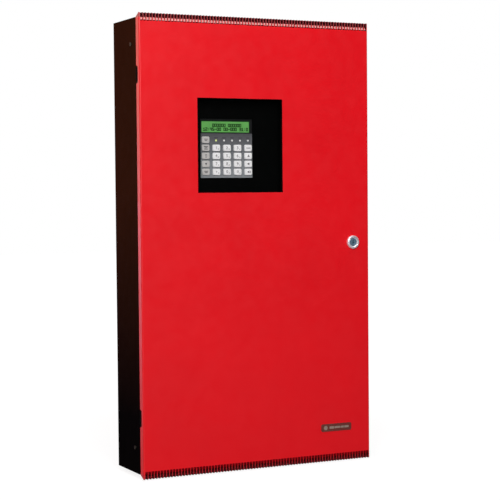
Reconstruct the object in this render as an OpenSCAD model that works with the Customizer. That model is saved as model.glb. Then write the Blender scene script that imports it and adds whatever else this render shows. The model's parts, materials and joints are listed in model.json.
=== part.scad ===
// Fire alarm control panel: a wall-mounted steel box with a hinged, key-locked door,
// a window over a display and keypad, and the electronics and batteries inside.
// Origin: centre of the back (wall) face. +Z up, the door faces -Y. Millimetres.

/* [Cabinet] */
// Width of the box and of the door
door_w = 394; // [390:1:410]
// Height of the door
door_h = 700; // [696:1:720]
// Depth from the wall to the door's front face
cabinet_d = 106; // [105:1:110]
// Thickness of the steel sheet
sheet_t = 1.5; // [1.2:0.1:1.5]
// Depth of the door's folded edges
door_flange = 12; // [12:0.1:12.4]
// How far the door stands past the box at the top and at the bottom
overhang = 6; // [5.5:0.1:6]
// Width of the lip folded in around the mouth of the box
lip_w = 15.5; // [14:0.5:16]
// Outside radius of the folded edges
bend_r = 2.2; // [1.8:0.1:2.4]

/* [Window] */
// Width of the opening in the door
window_w = 145; // [140:1:148]
// Height of the opening in the door
window_h = 144.5; // [141:0.5:146]
// Sideways place of the opening's centre
window_x = -30.5; // [-32:0.5:-28]
// Height of the opening's centre above the middle of the door
window_z = 153; // [151:0.5:154]
// Thickness of the clear pane
pane_t = 3; // [2:0.5:3]

/* [Vents and nameplate] */
// Number of slots in each row
vent_count = 78; // [60:1:78]
// Distance between slots
vent_pitch = 5; // [4.8:0.1:5]
// Width of a slot
vent_w = 4; // [2.5:0.1:4.1]
// Height of a slot on the door's face
vent_h = 12.3; // [10:0.1:13]
// Sideways place of the nameplate's middle
nameplate_x = 135; // [120:0.5:140]
// Height of the nameplate's middle
nameplate_z = -295.5; // [-300:0.5:-280]

/* [Hinges] */
// Height of the hinges above and below the middle
hinge_z = 258; // [240:1:270]
// Radius of a hinge knuckle
knuckle_r = 2.8; // [2.7:0.1:2.8]
// Radius of a hinge pin
pin_r = 1.25; // [1:0.05:1.4]

/* [Lock] */
// Sideways place of the lock
lock_x = 167.5; // [166:0.5:168]
// Radius of the lock's head
lock_head_r = 10.8; // [10.6:0.1:11.2]
// Radius of the lock's barrel
lock_barrel_r = 9.3; // [9:0.1:9.4]
// Radius of the plug that takes the key
lock_plug_r = 6; // [5.6:0.1:6]
// How far the cam reaches from the lock's centre
cam_reach = 24; // [22:0.5:25]

/* [Keypad] */
// Width of a key
key_w = 12.4; // [12:0.1:12.6]
// Height of a key
key_h = 10.1; // [8.6:0.1:10.3]
// Distance between key columns
key_pitch_x = 18.2; // [18:0.1:18.3]
// Distance between key rows
key_pitch_z = 12.35; // [12.2:0.05:12.4]
// Radius of a status lamp
lamp_r = 1.5; // [1.3:0.1:1.6]

/* [Batteries] */
// Width of a battery
battery_w = 151; // [148:1:152]
// Height of a battery's case
battery_h = 94; // [92:1:95]
// Thickness of a battery
battery_d = 65; // [63:1:65]

/* [Hidden] */
$fn = 64;

eps = 0.01;                // how far a cutter stands past what it cuts
run = 0.05;                // running clearance of a shaft in its bore
gap = 0.3;                 // clearance around parts that drop into an opening
screw_r = 1.6;             // radius of the small screws and their threads
half_w = door_w / 2;
half_h = door_h / 2;
wall_x = half_w - sheet_t;                    // inside of the box's side walls
door_front = -cabinet_d;
door_back = door_front + door_flange;         // rear edge of the door's flanges
door_skin = door_front + sheet_t;             // rear surface of the door's face
box_half_h = half_h - overhang;
door_gap = 0.9;                               // between the door and the front of the box
box_front = door_back + door_gap;
floor_z = -box_half_h + sheet_t;              // inside of the box's bottom

// wall fixing
wall_hole_r = 3.5;
wall_hole_x = 180;
wall_hole_z = 300;
knockout_r = 11;

// edges of the door
return_lip_x = [2.5 - half_w, half_w - eps];  // the lips stop short of the hinges
return_lip_low = box_half_h - 1.5;
corner_trim = 4;                              // how far the flanges are trimmed at the hinge side's corners
baffle_start = half_h - vent_h + 1.4;         // where a baffle's slanted lip begins
baffle_rise = 4.2;
baffle_x = half_w - sheet_t - 1;

// hinge
hinge_x = -half_w + sheet_t;
hinge_y = door_back - 2.5;
knuckle_half = 4.1;                           // half the height of the middle knuckle
knuckle_gap = 0.25;
leaf_half = 10.4;                             // half the height of a hinge
notch_depth = knuckle_r + 0.4;                // how far the flange is cut away before the pin

// electronics
chassis_front = -16;
chassis_half_w = 165;
chassis_low = -165;
chassis_high = 325;
board_t = 1.6;
board_back = -24;
board_front = board_back - board_t;

// dress panel and display
panel_front = door_front + 26;
panel_back = panel_front + sheet_t;
panel_half_w = 178;
panel_low = -170;
panel_high = 330;
panel_fold_x = [6 - panel_half_w, panel_half_w - 6];
pillar_x = 150;
pillar_z = -150;
bracket_z = 305;
bracket_screw_x = panel_half_w - 8;
side_screw_y = door_front + 32;
keys_x = -42.5;                               // middle key column
keys_z = 137.7;                               // middle key row
fascia_x = [-86.4, 1.4];
fascia_z = [103.9, 172.6];
fascia_front = panel_front - 1;
cutout_z = [fascia_z[0] - gap, 194.7];
lcd_x = [-85.2, -2];
lcd_z = [173.4, 192.4];
display_back = panel_back + 4.5;              // rear face of the display frame
frame_x = [fascia_x[0] - 6, fascia_x[1] + 6];
frame_z = [fascia_z[0] - 6, cutout_z[1] + 6];
socket_x = [-56, -26];                        // ribbon cable's sockets
key_front = fascia_front - 2.2;
key_travel_gap = 1;
key_corner = 2;                               // corner radius of a key

// battery bay
battery_x = battery_w / 2 + 7.5;
battery_top = floor_z + battery_h;
battery_front = -sheet_t - battery_d;
terminal_dx = 55;
terminal_y = -20;
strap_z = [-bracket_z - 11, -bracket_z + 11];

function key_name(row, col) = str("key_r", row, "c", col);
function arc(cx, cy, r, from, to, steps = 5) =
    [for (i = [0:steps]) let (a = from + (to - from) * i / steps) [cx + r * cos(a), cy + r * sin(a)]];
function round_rect(w, h, r) = concat(
    arc(w / 2 - r, h / 2 - r, r, 0, 90),
    arc(r - w / 2, h / 2 - r, r, 90, 180),
    arc(r - w / 2, r - h / 2, r, 180, 270),
    arc(w / 2 - r, r - h / 2, r, 270, 360)
);

// Box between two corners
module slab(x, y, z) {
    translate([x[0], y[0], z[0]]) cube([x[1] - x[0], y[1] - y[0], z[1] - z[0]]);
}

// Upright plate with rounded corners, facing -Y
module face_plate(cx, cz, w, h, y, r) {
    translate([cx, y[1], cz]) rotate([90, 0, 0]) linear_extrude(y[1] - y[0]) polygon(round_rect(w, h, r));
}

// Round bar along Y
module bar_y(x, z, r, y, sides = $fn) {
    translate([x, y[1], z]) rotate([90, 0, 0]) cylinder(r = r, h = y[1] - y[0], $fn = sides);
}

// Round bar along X
module bar_x(y, z, r, x) {
    translate([x[0], y, z]) rotate([0, 90, 0]) cylinder(r = r, h = x[1] - x[0]);
}

// Outline of [y, z] points drawn out along X
module profile_x(x, points) {
    translate([x[0], 0, 0]) rotate([0, 0, 90]) rotate([90, 0, 0]) linear_extrude(x[1] - x[0]) polygon(points);
}

// Shape turned about an axis along Y: points are [radius, y]
module turned_y(x, z, points) {
    translate([x, 0, z]) rotate([-90, 0, 0]) rotate_extrude() polygon(points);
}

// Both sides of the middle plane
module both_sides() {
    children();
    mirror([1, 0, 0]) children();
}

// Both the upper and the lower copy
module top_and_bottom() {
    children();
    mirror([0, 0, 1]) children();
}

// Smooth curve through a list of points
function between(a, b, c, d, t) =
    (2 * b + (c - a) * t + (2 * a - 5 * b + 4 * c - d) * t * t + (3 * b - a - 3 * c + d) * t * t * t) / 2;
function smooth(p, steps = 4) = concat(
    [for (i = [0:len(p) - 2]) for (k = [0:steps - 1])
        between(p[max(i - 1, 0)], p[i], p[i + 1], p[min(i + 2, len(p) - 1)], k / steps)],
    [p[len(p) - 1]]
);
function unit(v) = v / norm(v);

// Insulated wire that follows a path
module wire(path, r, sides = 10) {
    last = len(path) - 1;
    rings = [for (i = [0:last])
        let (
            along = unit(path[min(i + 1, last)] - path[max(i - 1, 0)]),
            across = unit(cross(along, [0.1, 1, 0.05])),
            up = cross(across, along)
        )
        for (j = [0:sides - 1]) path[i] + r * (cos(360 * j / sides) * across + sin(360 * j / sides) * up)];
    walls = [for (i = [0:last - 1]) for (j = [0:sides - 1])
        let (a = i * sides + j, b = i * sides + (j + 1) % sides)
        each [[a, b, a + sides], [b, b + sides, a + sides]]];
    polyhedron(rings, concat(walls, [
        [for (j = [0:sides - 1]) sides - 1 - j],
        [for (j = [0:sides - 1]) last * sides + j]
    ]));
}

// ---- Box ----

module backbox() {
    color([0.07, 0.05, 0.04]) difference() {
        intersection() {
            translate([0, 0, -box_half_h]) linear_extrude(2 * box_half_h)
                translate([0, box_front / 2]) polygon(round_rect(door_w, -box_front, bend_r));
            translate([0, box_front / 2, 0])
                profile_x([-half_w, half_w], round_rect(-box_front, 2 * box_half_h, bend_r));
        }
        slab([-wall_x, wall_x], [box_front + sheet_t, -sheet_t], [floor_z, -floor_z]);
        slab([lip_w - wall_x, wall_x - lip_w], [box_front - 1, box_front + sheet_t + 1],
             [floor_z + lip_w, -floor_z - lip_w]);
        for (x = [-wall_hole_x, wall_hole_x]) for (z = [-wall_hole_z, wall_hole_z])
            bar_y(x, z, wall_hole_r, [-sheet_t - 1, 1]);
        top_and_bottom() translate([0, 0, hinge_z])
            slab([-wall_x - eps, 1.8 - wall_x], [box_front - 1, box_front + sheet_t + 1],
                 [-leaf_half - 0.3, leaf_half + 0.3]);
        side_screw_places() bar_x(side_screw_y, 0, screw_r, [wall_x - 1, half_w + 1]);
        for (x = [-140, -80, 80, 140]) knockout_groove(x);
        mirror([0, 0, 1]) for (x = [-140, 140]) knockout_groove(x);
    }
}

// Ring pressed into the top wall around a knockout
module knockout_groove(x) {
    translate([x, -40, box_half_h]) difference() {
        cylinder(r = knockout_r, h = 1, center = true);
        cylinder(r = knockout_r - 0.8, h = 3, center = true);
    }
}

// Puts its children, drawn for the right wall, at the four side screws
module side_screw_places() {
    both_sides() top_and_bottom() translate([0, 0, bracket_z]) children();
}

module box_hinge_leaves() {
    color([0.06, 0.05, 0.05]) top_and_bottom() translate([0, 0, hinge_z]) difference() {
        union() {
            slab([hinge_x, hinge_x + sheet_t], [hinge_y, hinge_y + 24], [-leaf_half, leaf_half]);
            translate([hinge_x, hinge_y, -leaf_half]) cylinder(r = knuckle_r, h = 2 * leaf_half);
        }
        slab([hinge_x - 4, hinge_x + 4], [hinge_y - 4, hinge_y + knuckle_r + 0.4],
             [-knuckle_half - knuckle_gap, knuckle_half + knuckle_gap]);
        translate([hinge_x, hinge_y, 0]) cylinder(r = pin_r, h = 60, center = true);
    }
}

module hinge_pins() {
    color([0.08, 0.07, 0.07]) top_and_bottom() translate([hinge_x, hinge_y, hinge_z]) {
        translate([0, 0, -leaf_half]) cylinder(r = pin_r, h = 2 * leaf_half + 1);
        translate([0, 0, leaf_half]) cylinder(r = pin_r + 0.8, h = 1);
    }
}

module side_screws() {
    color([0.2, 0.2, 0.2]) side_screw_places() difference() {
        union() {
            bar_x(side_screw_y, 0, screw_r, [wall_x - 6, half_w]);
            bar_x(side_screw_y, 0, 2.8, [half_w, half_w + 1.4]);
        }
        slab([half_w + 0.8, half_w + 2], [side_screw_y - 2, side_screw_y + 2], [-0.3, 0.3]);
        slab([half_w + 0.8, half_w + 2], [side_screw_y - 0.3, side_screw_y + 0.3], [-2, 2]);
    }
}

// ---- Chassis and electronics ----

module chassis() {
    color([0.72, 0.74, 0.76]) difference() {
        union() {
            slab([-chassis_half_w, chassis_half_w], [chassis_front, chassis_front + sheet_t],
                 [chassis_low, chassis_high]);
            both_sides() {
                slab([chassis_half_w - sheet_t, chassis_half_w], [chassis_front, -sheet_t],
                     [chassis_low, chassis_high]);
                slab([chassis_half_w - 12, chassis_half_w], [-2 * sheet_t, -sheet_t],
                     [chassis_low, chassis_high]);
            }
        }
        for (z = [-100, 0, 40, 310]) for (x = [-60, 60])
            bar_y(x, z, 8, [chassis_front - 1, chassis_front + 3]);
    }
}

board_x = [-150, 150];
board_z = [-60, 300];
standoff_x = [-142, 0, 142];
standoff_z = [-52, 120, 292];

module board_standoffs() {
    color([0.75, 0.62, 0.3]) for (x = standoff_x) for (z = standoff_z)
        bar_y(x, z, 3, [board_back, chassis_front], 6);
}

module main_board() {
    color([0.05, 0.3, 0.14]) difference() {
        slab(board_x, [board_front, board_back], board_z);
        for (x = standoff_x) for (z = standoff_z) bar_y(x, z, screw_r, [board_front - 1, board_back + 1]);
    }
}

terminal_ways = 8;                            // wires in one terminal block
terminal_pitch = 7.6;
function terminal_way_x(block, way) = -135 + 70 * block + (way + 0.5) * terminal_pitch;

// Screw terminal block with its wire mouths facing down
module terminal_block(block) {
    translate([0, board_front, board_z[0] + 2]) difference() {
        slab([terminal_way_x(block, -0.5), terminal_way_x(block, terminal_ways - 0.5)], [-14, 0], [0, 13]);
        for (way = [0:terminal_ways - 1]) translate([terminal_way_x(block, way), 0, 0]) {
            bar_y(0, 7.5, 2.4, [-15, -9]);
            slab([-2.4, 2.4], [-7.5, -2.5], [-1, 7]);
        }
    }
}

module terminal_blocks() {
    color([0.1, 0.4, 0.2]) for (block = [0:3]) {
        terminal_block(block);
        translate([0, 0, board_z[0] + board_z[1]]) mirror([0, 0, 1]) terminal_block(block);
    }
}

module relays() {
    color([0.1, 0.2, 0.5]) for (i = [0:5])
        face_plate(-130 + i * 22, -20, 16, 28, [board_front - 16, board_front], 1);
}

module capacitors() {
    color([0.12, 0.12, 0.2]) {
        for (i = [0:3]) bar_y(30 + i * 24, -20, 9, [board_front - 34, board_front]);
        for (i = [0:7]) bar_y(-120 + i * 34, 262, 4, [board_front - 12, board_front]);
    }
}

module chips() {
    color([0.08, 0.08, 0.08]) {
        for (x = [-110, -55, 60]) face_plate(x, 30, 28, 28, [board_front - 3, board_front], 0.6);
        for (i = [0:8]) face_plate(-120 + i * 30, 215, 10, 22, [board_front - 3.5, board_front], 0.4);
        for (i = [0:4]) face_plate(-20 + i * 30, 65, 18, 8, [board_front - 3, board_front], 0.4);
    }
}

transformer_x = -112;
transformer_z = -112;

module transformer_core() {
    color([0.4, 0.4, 0.42]) translate([transformer_x, 0, transformer_z]) difference() {
        union() {
            slab([-38, 38], [-58, -24], [-32, 32]);
            slab([-46, 46], [-24, chassis_front], [-32, 32]);
        }
        both_sides() slab([13, 26], [-60, -22], [-20, 20]);
        both_sides() bar_y(42, 0, 2, [-30, -10]);
    }
}

module transformer_coil() {
    color([0.75, 0.62, 0.3]) translate([transformer_x, 0, transformer_z]) difference() {
        union() {
            slab([-25.7, 25.7], [-72, -58], [-19.7, 19.7]);
            both_sides() slab([13.3, 25.7], [-58.5, -24], [-19.7, 19.7]);
        }
        both_sides() translate([27, -73, 0]) rotate([0, 0, 45]) cube([4, 4, 60], center = true);
    }
}

// Sealed battery with two blade terminals; side = 1 is on the right
module battery(side) {
    translate([side * battery_x, 0, 0]) {
        difference() {
            slab([-battery_w / 2, battery_w / 2], [battery_front, -sheet_t], [floor_z, battery_top]);
            for (x = [-terminal_dx, terminal_dx])
                slab([x - 8, x + 8], [terminal_y - 8, terminal_y + 8], [battery_top - 3, battery_top + 1]);
            slab([-battery_w / 2 - 1, battery_w / 2 + 1], [battery_front - 1, battery_front + 0.6],
                 [battery_top - 9, battery_top - 8]);
        }
        for (x = [-terminal_dx, terminal_dx])
            slab([x - 3.2, x + 3.2], [terminal_y - 0.4, terminal_y + 0.4], [battery_top - 3.5, battery_top + 5]);
    }
}

module battery_left() {
    color([0.1, 0.1, 0.11]) battery(-1);
}

module battery_right() {
    color([0.1, 0.1, 0.11]) battery(1);
}

module battery_strap() {
    color([0.12, 0.12, 0.12]) {
        slab([-wall_x, wall_x], [battery_front - sheet_t, battery_front], strap_z);
        both_sides() difference() {
            slab([wall_x - sheet_t, wall_x], [side_screw_y - 8, battery_front - sheet_t], strap_z);
            bar_x(side_screw_y, -bracket_z, screw_r, [wall_x - 5, wall_x + 1]);
        }
    }
}

lead_r = 1.6;
lead_plug_h = 9;
lead_start = battery_top + lead_plug_h + 0.02;
lead_end = [board_front - 5, board_z[0] + 6];  // y and z, inside a terminal's mouth

// Push-on sleeve on a battery terminal
module lead_sleeve(x) {
    difference() {
        slab([x - 4, x + 4], [terminal_y - 1.8, terminal_y + 1.8], [battery_top + 0.3, battery_top + lead_plug_h]);
        slab([x - 3.25, x + 3.25], [terminal_y - 0.45, terminal_y + 0.45], [battery_top, battery_top + 5.1]);
    }
}

module battery_leads() {
    outer = battery_x + terminal_dx;
    inner = battery_x - terminal_dx;
    plus_x = terminal_way_x(3, 5);
    minus_x = terminal_way_x(3, 4);
    color([0.6, 0.08, 0.06]) {
        lead_sleeve(outer);
        wire(smooth([
            [outer, terminal_y, lead_start], [outer, terminal_y, -229], [136, -26, -204], [127, -32, -140],
            [118, -31, -92], [plus_x, lead_end[0], -68], [plus_x, lead_end[0], lead_end[1]]
        ]), lead_r);
    }
    color([0.05, 0.05, 0.05]) {
        lead_sleeve(-outer);
        wire(smooth([
            [-outer, terminal_y, lead_start], [-outer, terminal_y, -229], [-130, -26, -212], [-100, -36, -198],
            [-30, -40, -190], [50, -38, -178], [96, -33, -138], [minus_x, lead_end[0], -86],
            [minus_x, lead_end[0], -68], [minus_x, lead_end[0], lead_end[1]]
        ]), lead_r);
    }
    color([0.1, 0.2, 0.5]) {
        lead_sleeve(inner);
        lead_sleeve(-inner);
        wire(smooth([
            [inner, terminal_y, lead_start], [inner, terminal_y, -234], [inner - 8, terminal_y, -224],
            [0, terminal_y, -220], [8 - inner, terminal_y, -224], [-inner, terminal_y, -234],
            [-inner, terminal_y, lead_start]
        ]), lead_r);
    }
}

// ---- Dress panel and display ----

module panel_brackets() {
    color([0.3, 0.3, 0.32]) {
        both_sides() difference() {
            union() {
                slab([wall_x - sheet_t, wall_x], [panel_back, panel_back + 13],
                     [bracket_z - 10, bracket_z + 10]);
                slab([panel_half_w - 18, wall_x], [panel_back, panel_back + sheet_t],
                     [bracket_z - 10, bracket_z + 10]);
            }
            bar_x(side_screw_y, bracket_z, screw_r, [wall_x - 5, wall_x + 1]);
            bar_y(bracket_screw_x, bracket_z, screw_r, [panel_back - 1, panel_back + 3]);
        }
        both_sides() difference() {
            bar_y(pillar_x, pillar_z, 4.6, [panel_back, chassis_front], 6);
            bar_y(pillar_x, pillar_z, screw_r, [panel_back - 1, panel_back + 8]);
        }
    }
}

module dress_panel() {
    color([0.02, 0.02, 0.02]) difference() {
        union() {
            face_plate(0, (panel_low + panel_high) / 2, 2 * panel_half_w, panel_high - panel_low,
                       [panel_front, panel_back], 4);
            slab(panel_fold_x, [panel_front + 0.5, panel_front + 11], [panel_high - sheet_t, panel_high]);
            slab(panel_fold_x, [panel_front + 0.5, panel_front + 11], [panel_low, panel_low + sheet_t]);
        }
        slab([fascia_x[0] - gap, fascia_x[1] + gap], [panel_front - 1, panel_back + 1], cutout_z);
        both_sides() bar_y(bracket_screw_x, bracket_z, screw_r + 0.1, [panel_front - 1, panel_back + 1]);
        both_sides() bar_y(pillar_x, pillar_z, screw_r + 0.1, [panel_front - 1, panel_back + 1]);
    }
}

module panel_screw(x, z) {
    difference() {
        union() {
            bar_y(x, z, screw_r, [panel_front, panel_back + 6]);
            turned_y(x, z, [[0, panel_front - 2], [2, panel_front - 1.8], [3.4, panel_front - 0.9],
                            [3.6, panel_front], [0, panel_front]]);
        }
        slab([x - 0.35, x + 0.35], [panel_front - 3, panel_front - 1], [z - 2.2, z + 2.2]);
        slab([x - 2.2, x + 2.2], [panel_front - 3, panel_front - 1], [z - 0.35, z + 0.35]);
    }
}

module panel_screws() {
    color([0.5, 0.5, 0.52]) both_sides() {
        panel_screw(bracket_screw_x, bracket_z);
        panel_screw(pillar_x, pillar_z);
    }
}

// Plastic carrier behind the dress panel, with the border around the LCD
module display_frame() {
    color([0.03, 0.03, 0.03]) difference() {
        union() {
            slab(frame_x, [panel_back, display_back], frame_z);
            slab(fascia_x, [panel_front - 0.6, panel_back], [fascia_z[1], cutout_z[1] - gap]);
        }
        slab([fascia_x[0] + 0.6, fascia_x[1] - 0.6], [panel_back - 1, display_back + 1],
             [fascia_z[0] + 1.2, fascia_z[1] - 1.4]);
        slab(lcd_x, [panel_front - 1, display_back + 1], lcd_z);
    }
}

module lcd_glass() {
    color([0.4, 0.7, 0.35]) slab(lcd_x, [panel_front, display_back], lcd_z);
}

module display_board() {
    color([0.05, 0.3, 0.14]) {
        slab(frame_x, [display_back, display_back + board_t], frame_z);
        slab(socket_x, [display_back + board_t, display_back + 8], [120, 128]);
    }
}

module keypad_fascia() {
    color([0.45, 0.46, 0.46]) difference() {
        slab(fascia_x, [fascia_front, panel_back], fascia_z);
        for (row = [1:5]) for (col = [1:(row == 1 ? 1 : 5)])
            face_plate(key_x(col), key_z(row), key_w + 0.6, key_h + 0.6, [fascia_front - 1, panel_back + 1],
                       key_corner + 0.3);
        for (i = [0:4]) bar_y(lamp_x(i), key_z(1) - 0.8, lamp_r, [fascia_front - 1, panel_back + 1]);
    }
}

function key_x(col) = keys_x + (col - 3) * key_pitch_x;
function key_z(row) = keys_z + (3 - row) * key_pitch_z;
function lamp_x(i) = key_x(2) + i * 13.7;

module status_lamps() {
    color([0.85, 0.87, 0.8]) for (i = [0:4])
        turned_y(lamp_x(i), key_z(1) - 0.8, [
            [0, fascia_front - 1.1], [lamp_r * 0.6, fascia_front - 0.9], [lamp_r, fascia_front - 0.2],
            [lamp_r, display_back], [0, display_back]
        ]);
}

// One key: a rounded cap on a stem that presses a switch on the display board
module key_cap(row, col) {
    color(col == 1 ? [0.65, 0.58, 0.58] : [0.92, 0.92, 0.9]) translate([key_x(col), 0, key_z(row)]) {
        face_plate(0, 0, key_w, key_h, [key_front + 0.5, panel_back + 0.5], key_corner);
        face_plate(0, 0, key_w - 1, key_h - 1, [key_front, key_front + 0.5], key_corner - 0.5);
        bar_y(0, 0, 2, [panel_back + 0.5, display_back - key_travel_gap]);
    }
}

module ribbon_cable() {
    far = board_front - 9;
    near = display_back + 8;
    color([0.55, 0.56, 0.58]) {
        profile_x([socket_x[0] + 2, socket_x[1] - 2], [
            [near, 121.5], [near + 5, 121.5], [far - 6, 106.5], [far, 106.5],
            [far, 105.5], [far - 6.5, 105.5], [near + 4.5, 120.5], [near, 120.5]
        ]);
        slab(socket_x, [far, board_front], [102, 110]);
    }
}

// ---- Door ----

module door() {
    color([0.78, 0.09, 0.12]) difference() {
        union() {
            difference() {
                intersection() {
                    translate([0, 0, -half_h]) linear_extrude(door_h)
                        polygon(concat([[half_w, door_back], [-half_w, door_back]],
                            arc(bend_r - half_w, door_front + bend_r, bend_r, 180, 270),
                            arc(half_w - bend_r, door_front + bend_r, bend_r, 270, 360)));
                    profile_x([-half_w, half_w], concat([[door_back, -half_h], [door_back, half_h]],
                        arc(door_front + bend_r, half_h - bend_r, bend_r, 90, 180),
                        arc(door_front + bend_r, bend_r - half_h, bend_r, 180, 270)));
                }
                slab([-wall_x, wall_x], [door_skin, door_back + 1], [sheet_t - half_h, half_h - sheet_t]);
            }
            top_and_bottom() slab(return_lip_x, [door_back - sheet_t, door_back],
                                  [return_lip_low, half_h - eps]);
        }
        slab([window_x - window_w / 2, window_x + window_w / 2], [door_front - 1, door_skin + 1],
             [window_z - window_h / 2, window_z + window_h / 2]);
        top_and_bottom() for (i = [0:vent_count - 1])
            translate([(i - (vent_count - 1) / 2) * vent_pitch, 0, 0])
                slab([-vent_w / 2, vent_w / 2], [door_front - 1, door_front + 7], [half_h - vent_h, half_h + 1]);
        mirror([1, 0, 0]) top_and_bottom() door_corner_cut();
        top_and_bottom() translate([0, 0, hinge_z]) profile_x([-half_w - 1, -wall_x + 0.2], [
            [hinge_y - notch_depth, -leaf_half - 1], [hinge_y - notch_depth, leaf_half + 1],
            [door_back + 1, leaf_half + 4], [door_back + 1, -leaf_half - 4]
        ]);
        bar_y(lock_x, 0, lock_barrel_r, [door_front - 1, door_skin + 1]);
    }
}

// Trims the ends of the flanges that meet at a corner, drawn for the top right one
module door_corner_cut() {
    profile_x([wall_x - eps, half_w + 1], [
        [door_front + bend_r, half_h + 1], [door_front + bend_r, half_h - 1],
        [door_back + 1, box_half_h], [door_back + 1, half_h + 1]
    ]);
    translate([0, 0, half_h - sheet_t - eps]) linear_extrude(sheet_t + 1) polygon([
        [half_w + 1, door_front + bend_r], [half_w - 1, door_front + bend_r],
        [half_w - corner_trim, door_back + 1], [half_w + 1, door_back + 1]
    ]);
}

module door_hinge_leaves() {
    color([0.06, 0.05, 0.05]) top_and_bottom() translate([0, 0, hinge_z]) difference() {
        union() {
            slab([hinge_x, hinge_x + sheet_t], [door_skin + 0.8, hinge_y], [-knuckle_half, knuckle_half]);
            slab([hinge_x, hinge_x + sheet_t], [door_skin + 0.8, hinge_y - notch_depth - 0.5],
                 [-leaf_half, leaf_half]);
            slab([hinge_x + 0.8, hinge_x + 19], [door_skin, door_skin + sheet_t], [-leaf_half, leaf_half]);
            translate([hinge_x, hinge_y, -knuckle_half]) cylinder(r = knuckle_r, h = 2 * knuckle_half);
        }
        translate([hinge_x, hinge_y, 0]) cylinder(r = pin_r + run, h = 60, center = true);
    }
}

stud_r = 1.5;
pane_margin = 10;                             // how far the pane laps the door around the opening
pane_w = window_w + 2 * pane_margin;
pane_h = window_h + 2 * pane_margin;
retainer_back = door_skin + pane_t + 1.2;

// Puts its children at the eight studs around the window
module window_stud_places() {
    reach_x = (window_w + pane_margin) / 2;
    reach_z = (window_h + pane_margin) / 2;
    for (x = [-1, 0, 1]) for (z = [-1, 0, 1]) if (x != 0 || z != 0)
        translate([window_x + x * reach_x, 0, window_z + z * reach_z]) children();
}

module window_pane() {
    color([0.8, 0.85, 0.85, 0.3]) difference() {
        face_plate(window_x, window_z, pane_w, pane_h, [door_skin, door_skin + pane_t], 3);
        window_stud_places() bar_y(0, 0, stud_r, [door_skin - 1, door_skin + pane_t + 1]);
    }
}

module window_retainer() {
    color([0.55, 0.56, 0.58]) difference() {
        face_plate(window_x, window_z, pane_w, pane_h, [door_skin + pane_t, retainer_back], 3);
        slab([window_x - window_w / 2, window_x + window_w / 2], [door_skin, door_skin + 6],
             [window_z - window_h / 2, window_z + window_h / 2]);
        window_stud_places() bar_y(0, 0, stud_r, [door_skin - 1, door_skin + pane_t + 2]);
    }
}

module window_fasteners() {
    color([0.75, 0.75, 0.72]) window_stud_places() {
        bar_y(0, 0, stud_r, [door_skin, retainer_back + 4]);
        bar_y(0, 0, 3.1, [retainer_back, retainer_back + 2.4], 6);
    }
}

// Strips behind the slots, each with a slanted lip that keeps drips and dust out
module vent_baffles() {
    baffle_low = baffle_start - 13;
    lip_y = door_skin + baffle_rise;
    lip_z = baffle_start + baffle_rise;
    color([0.85, 0.6, 0.58]) top_and_bottom()
        profile_x([-baffle_x, baffle_x], [
            [door_skin, baffle_low], [door_skin + 1, baffle_low], [door_skin + 1, baffle_start - 0.4],
            [lip_y + 0.7, lip_z - 0.7], [lip_y, lip_z], [door_skin, baffle_start]
        ]);
}

// Plate with a fine groove around its face
module nameplate() {
    w = 55;
    h = 12;
    color([0.3, 0.2, 0.18]) translate([nameplate_x, door_front, nameplate_z]) difference() {
        face_plate(0, 0, w, h, [-0.8, 0], 3);
        difference() {
            face_plate(0, 0, w - 2, h - 2, [-1, -0.6], 2);
            face_plate(0, 0, w - 3, h - 3, [-2, 0], 1.6);
        }
    }
}

lock_back = box_front + sheet_t + 2.3;        // rear end of the lock's barrel
lock_face = door_front - 3.8;

module lock_body() {
    bore = lock_plug_r + run;
    round_r = 2.6;
    color([0.86, 0.83, 0.87]) turned_y(lock_x, 0, [
        [bore, lock_face + 1.8], [bore + 1.6, lock_face],
        each arc(lock_head_r - round_r, lock_face + round_r, round_r, -90, 0), [lock_head_r, door_front],
        [lock_barrel_r, door_front], [lock_barrel_r, lock_back], [bore, lock_back]
    ]);
}

module lock_nut() {
    color([0.7, 0.7, 0.7]) difference() {
        bar_y(lock_x, 0, 14, [door_skin, door_skin + 3.5], 6);
        bar_y(lock_x, 0, lock_barrel_r, [door_skin - 1, door_skin + 5]);
    }
}

module lock_plug() {
    color([0.4, 0.46, 0.55]) difference() {
        union() {
            bar_y(lock_x, 0, lock_plug_r, [lock_face + 1.4, lock_back + 0.2]);
            slab([lock_x - 3.5, lock_x + 3.5], [lock_back + 0.2, lock_back + 2.4], [-3.5, 3.5]);
        }
        slab([lock_x - 0.8, lock_x + 0.8], [lock_face, lock_face + 9], [-3.8, 3.8]);
        slab([lock_x - 1.6, lock_x + eps], [lock_face, lock_face + 9], [-1.6, 0.2]);
        bar_y(lock_x, 0, 1.6, [lock_face + 12, lock_back + 3]);
    }
}

module lock_cam() {
    color([0.75, 0.75, 0.7]) translate([lock_x, lock_back + 2.2, 0]) rotate([90, 0, 0]) linear_extrude(2)
        difference() {
            union() {
                circle(r = 8);
                polygon([[-7, 0], [7, 0], [7, cam_reach - 3], [4, cam_reach], [-4, cam_reach], [-7, cam_reach - 3]]);
            }
            square(7, center = true);
        }
}

module cam_screw() {
    back = lock_back + 2.4;
    color([0.6, 0.6, 0.6]) difference() {
        union() {
            bar_y(lock_x, 0, 1.6, [lock_face + 12.5, back]);
            bar_y(lock_x, 0, 4.4, [back, back + 2.4]);
        }
        slab([lock_x - 3, lock_x + 3], [back + 1.4, back + 3], [-0.5, 0.5]);
    }
}

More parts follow.
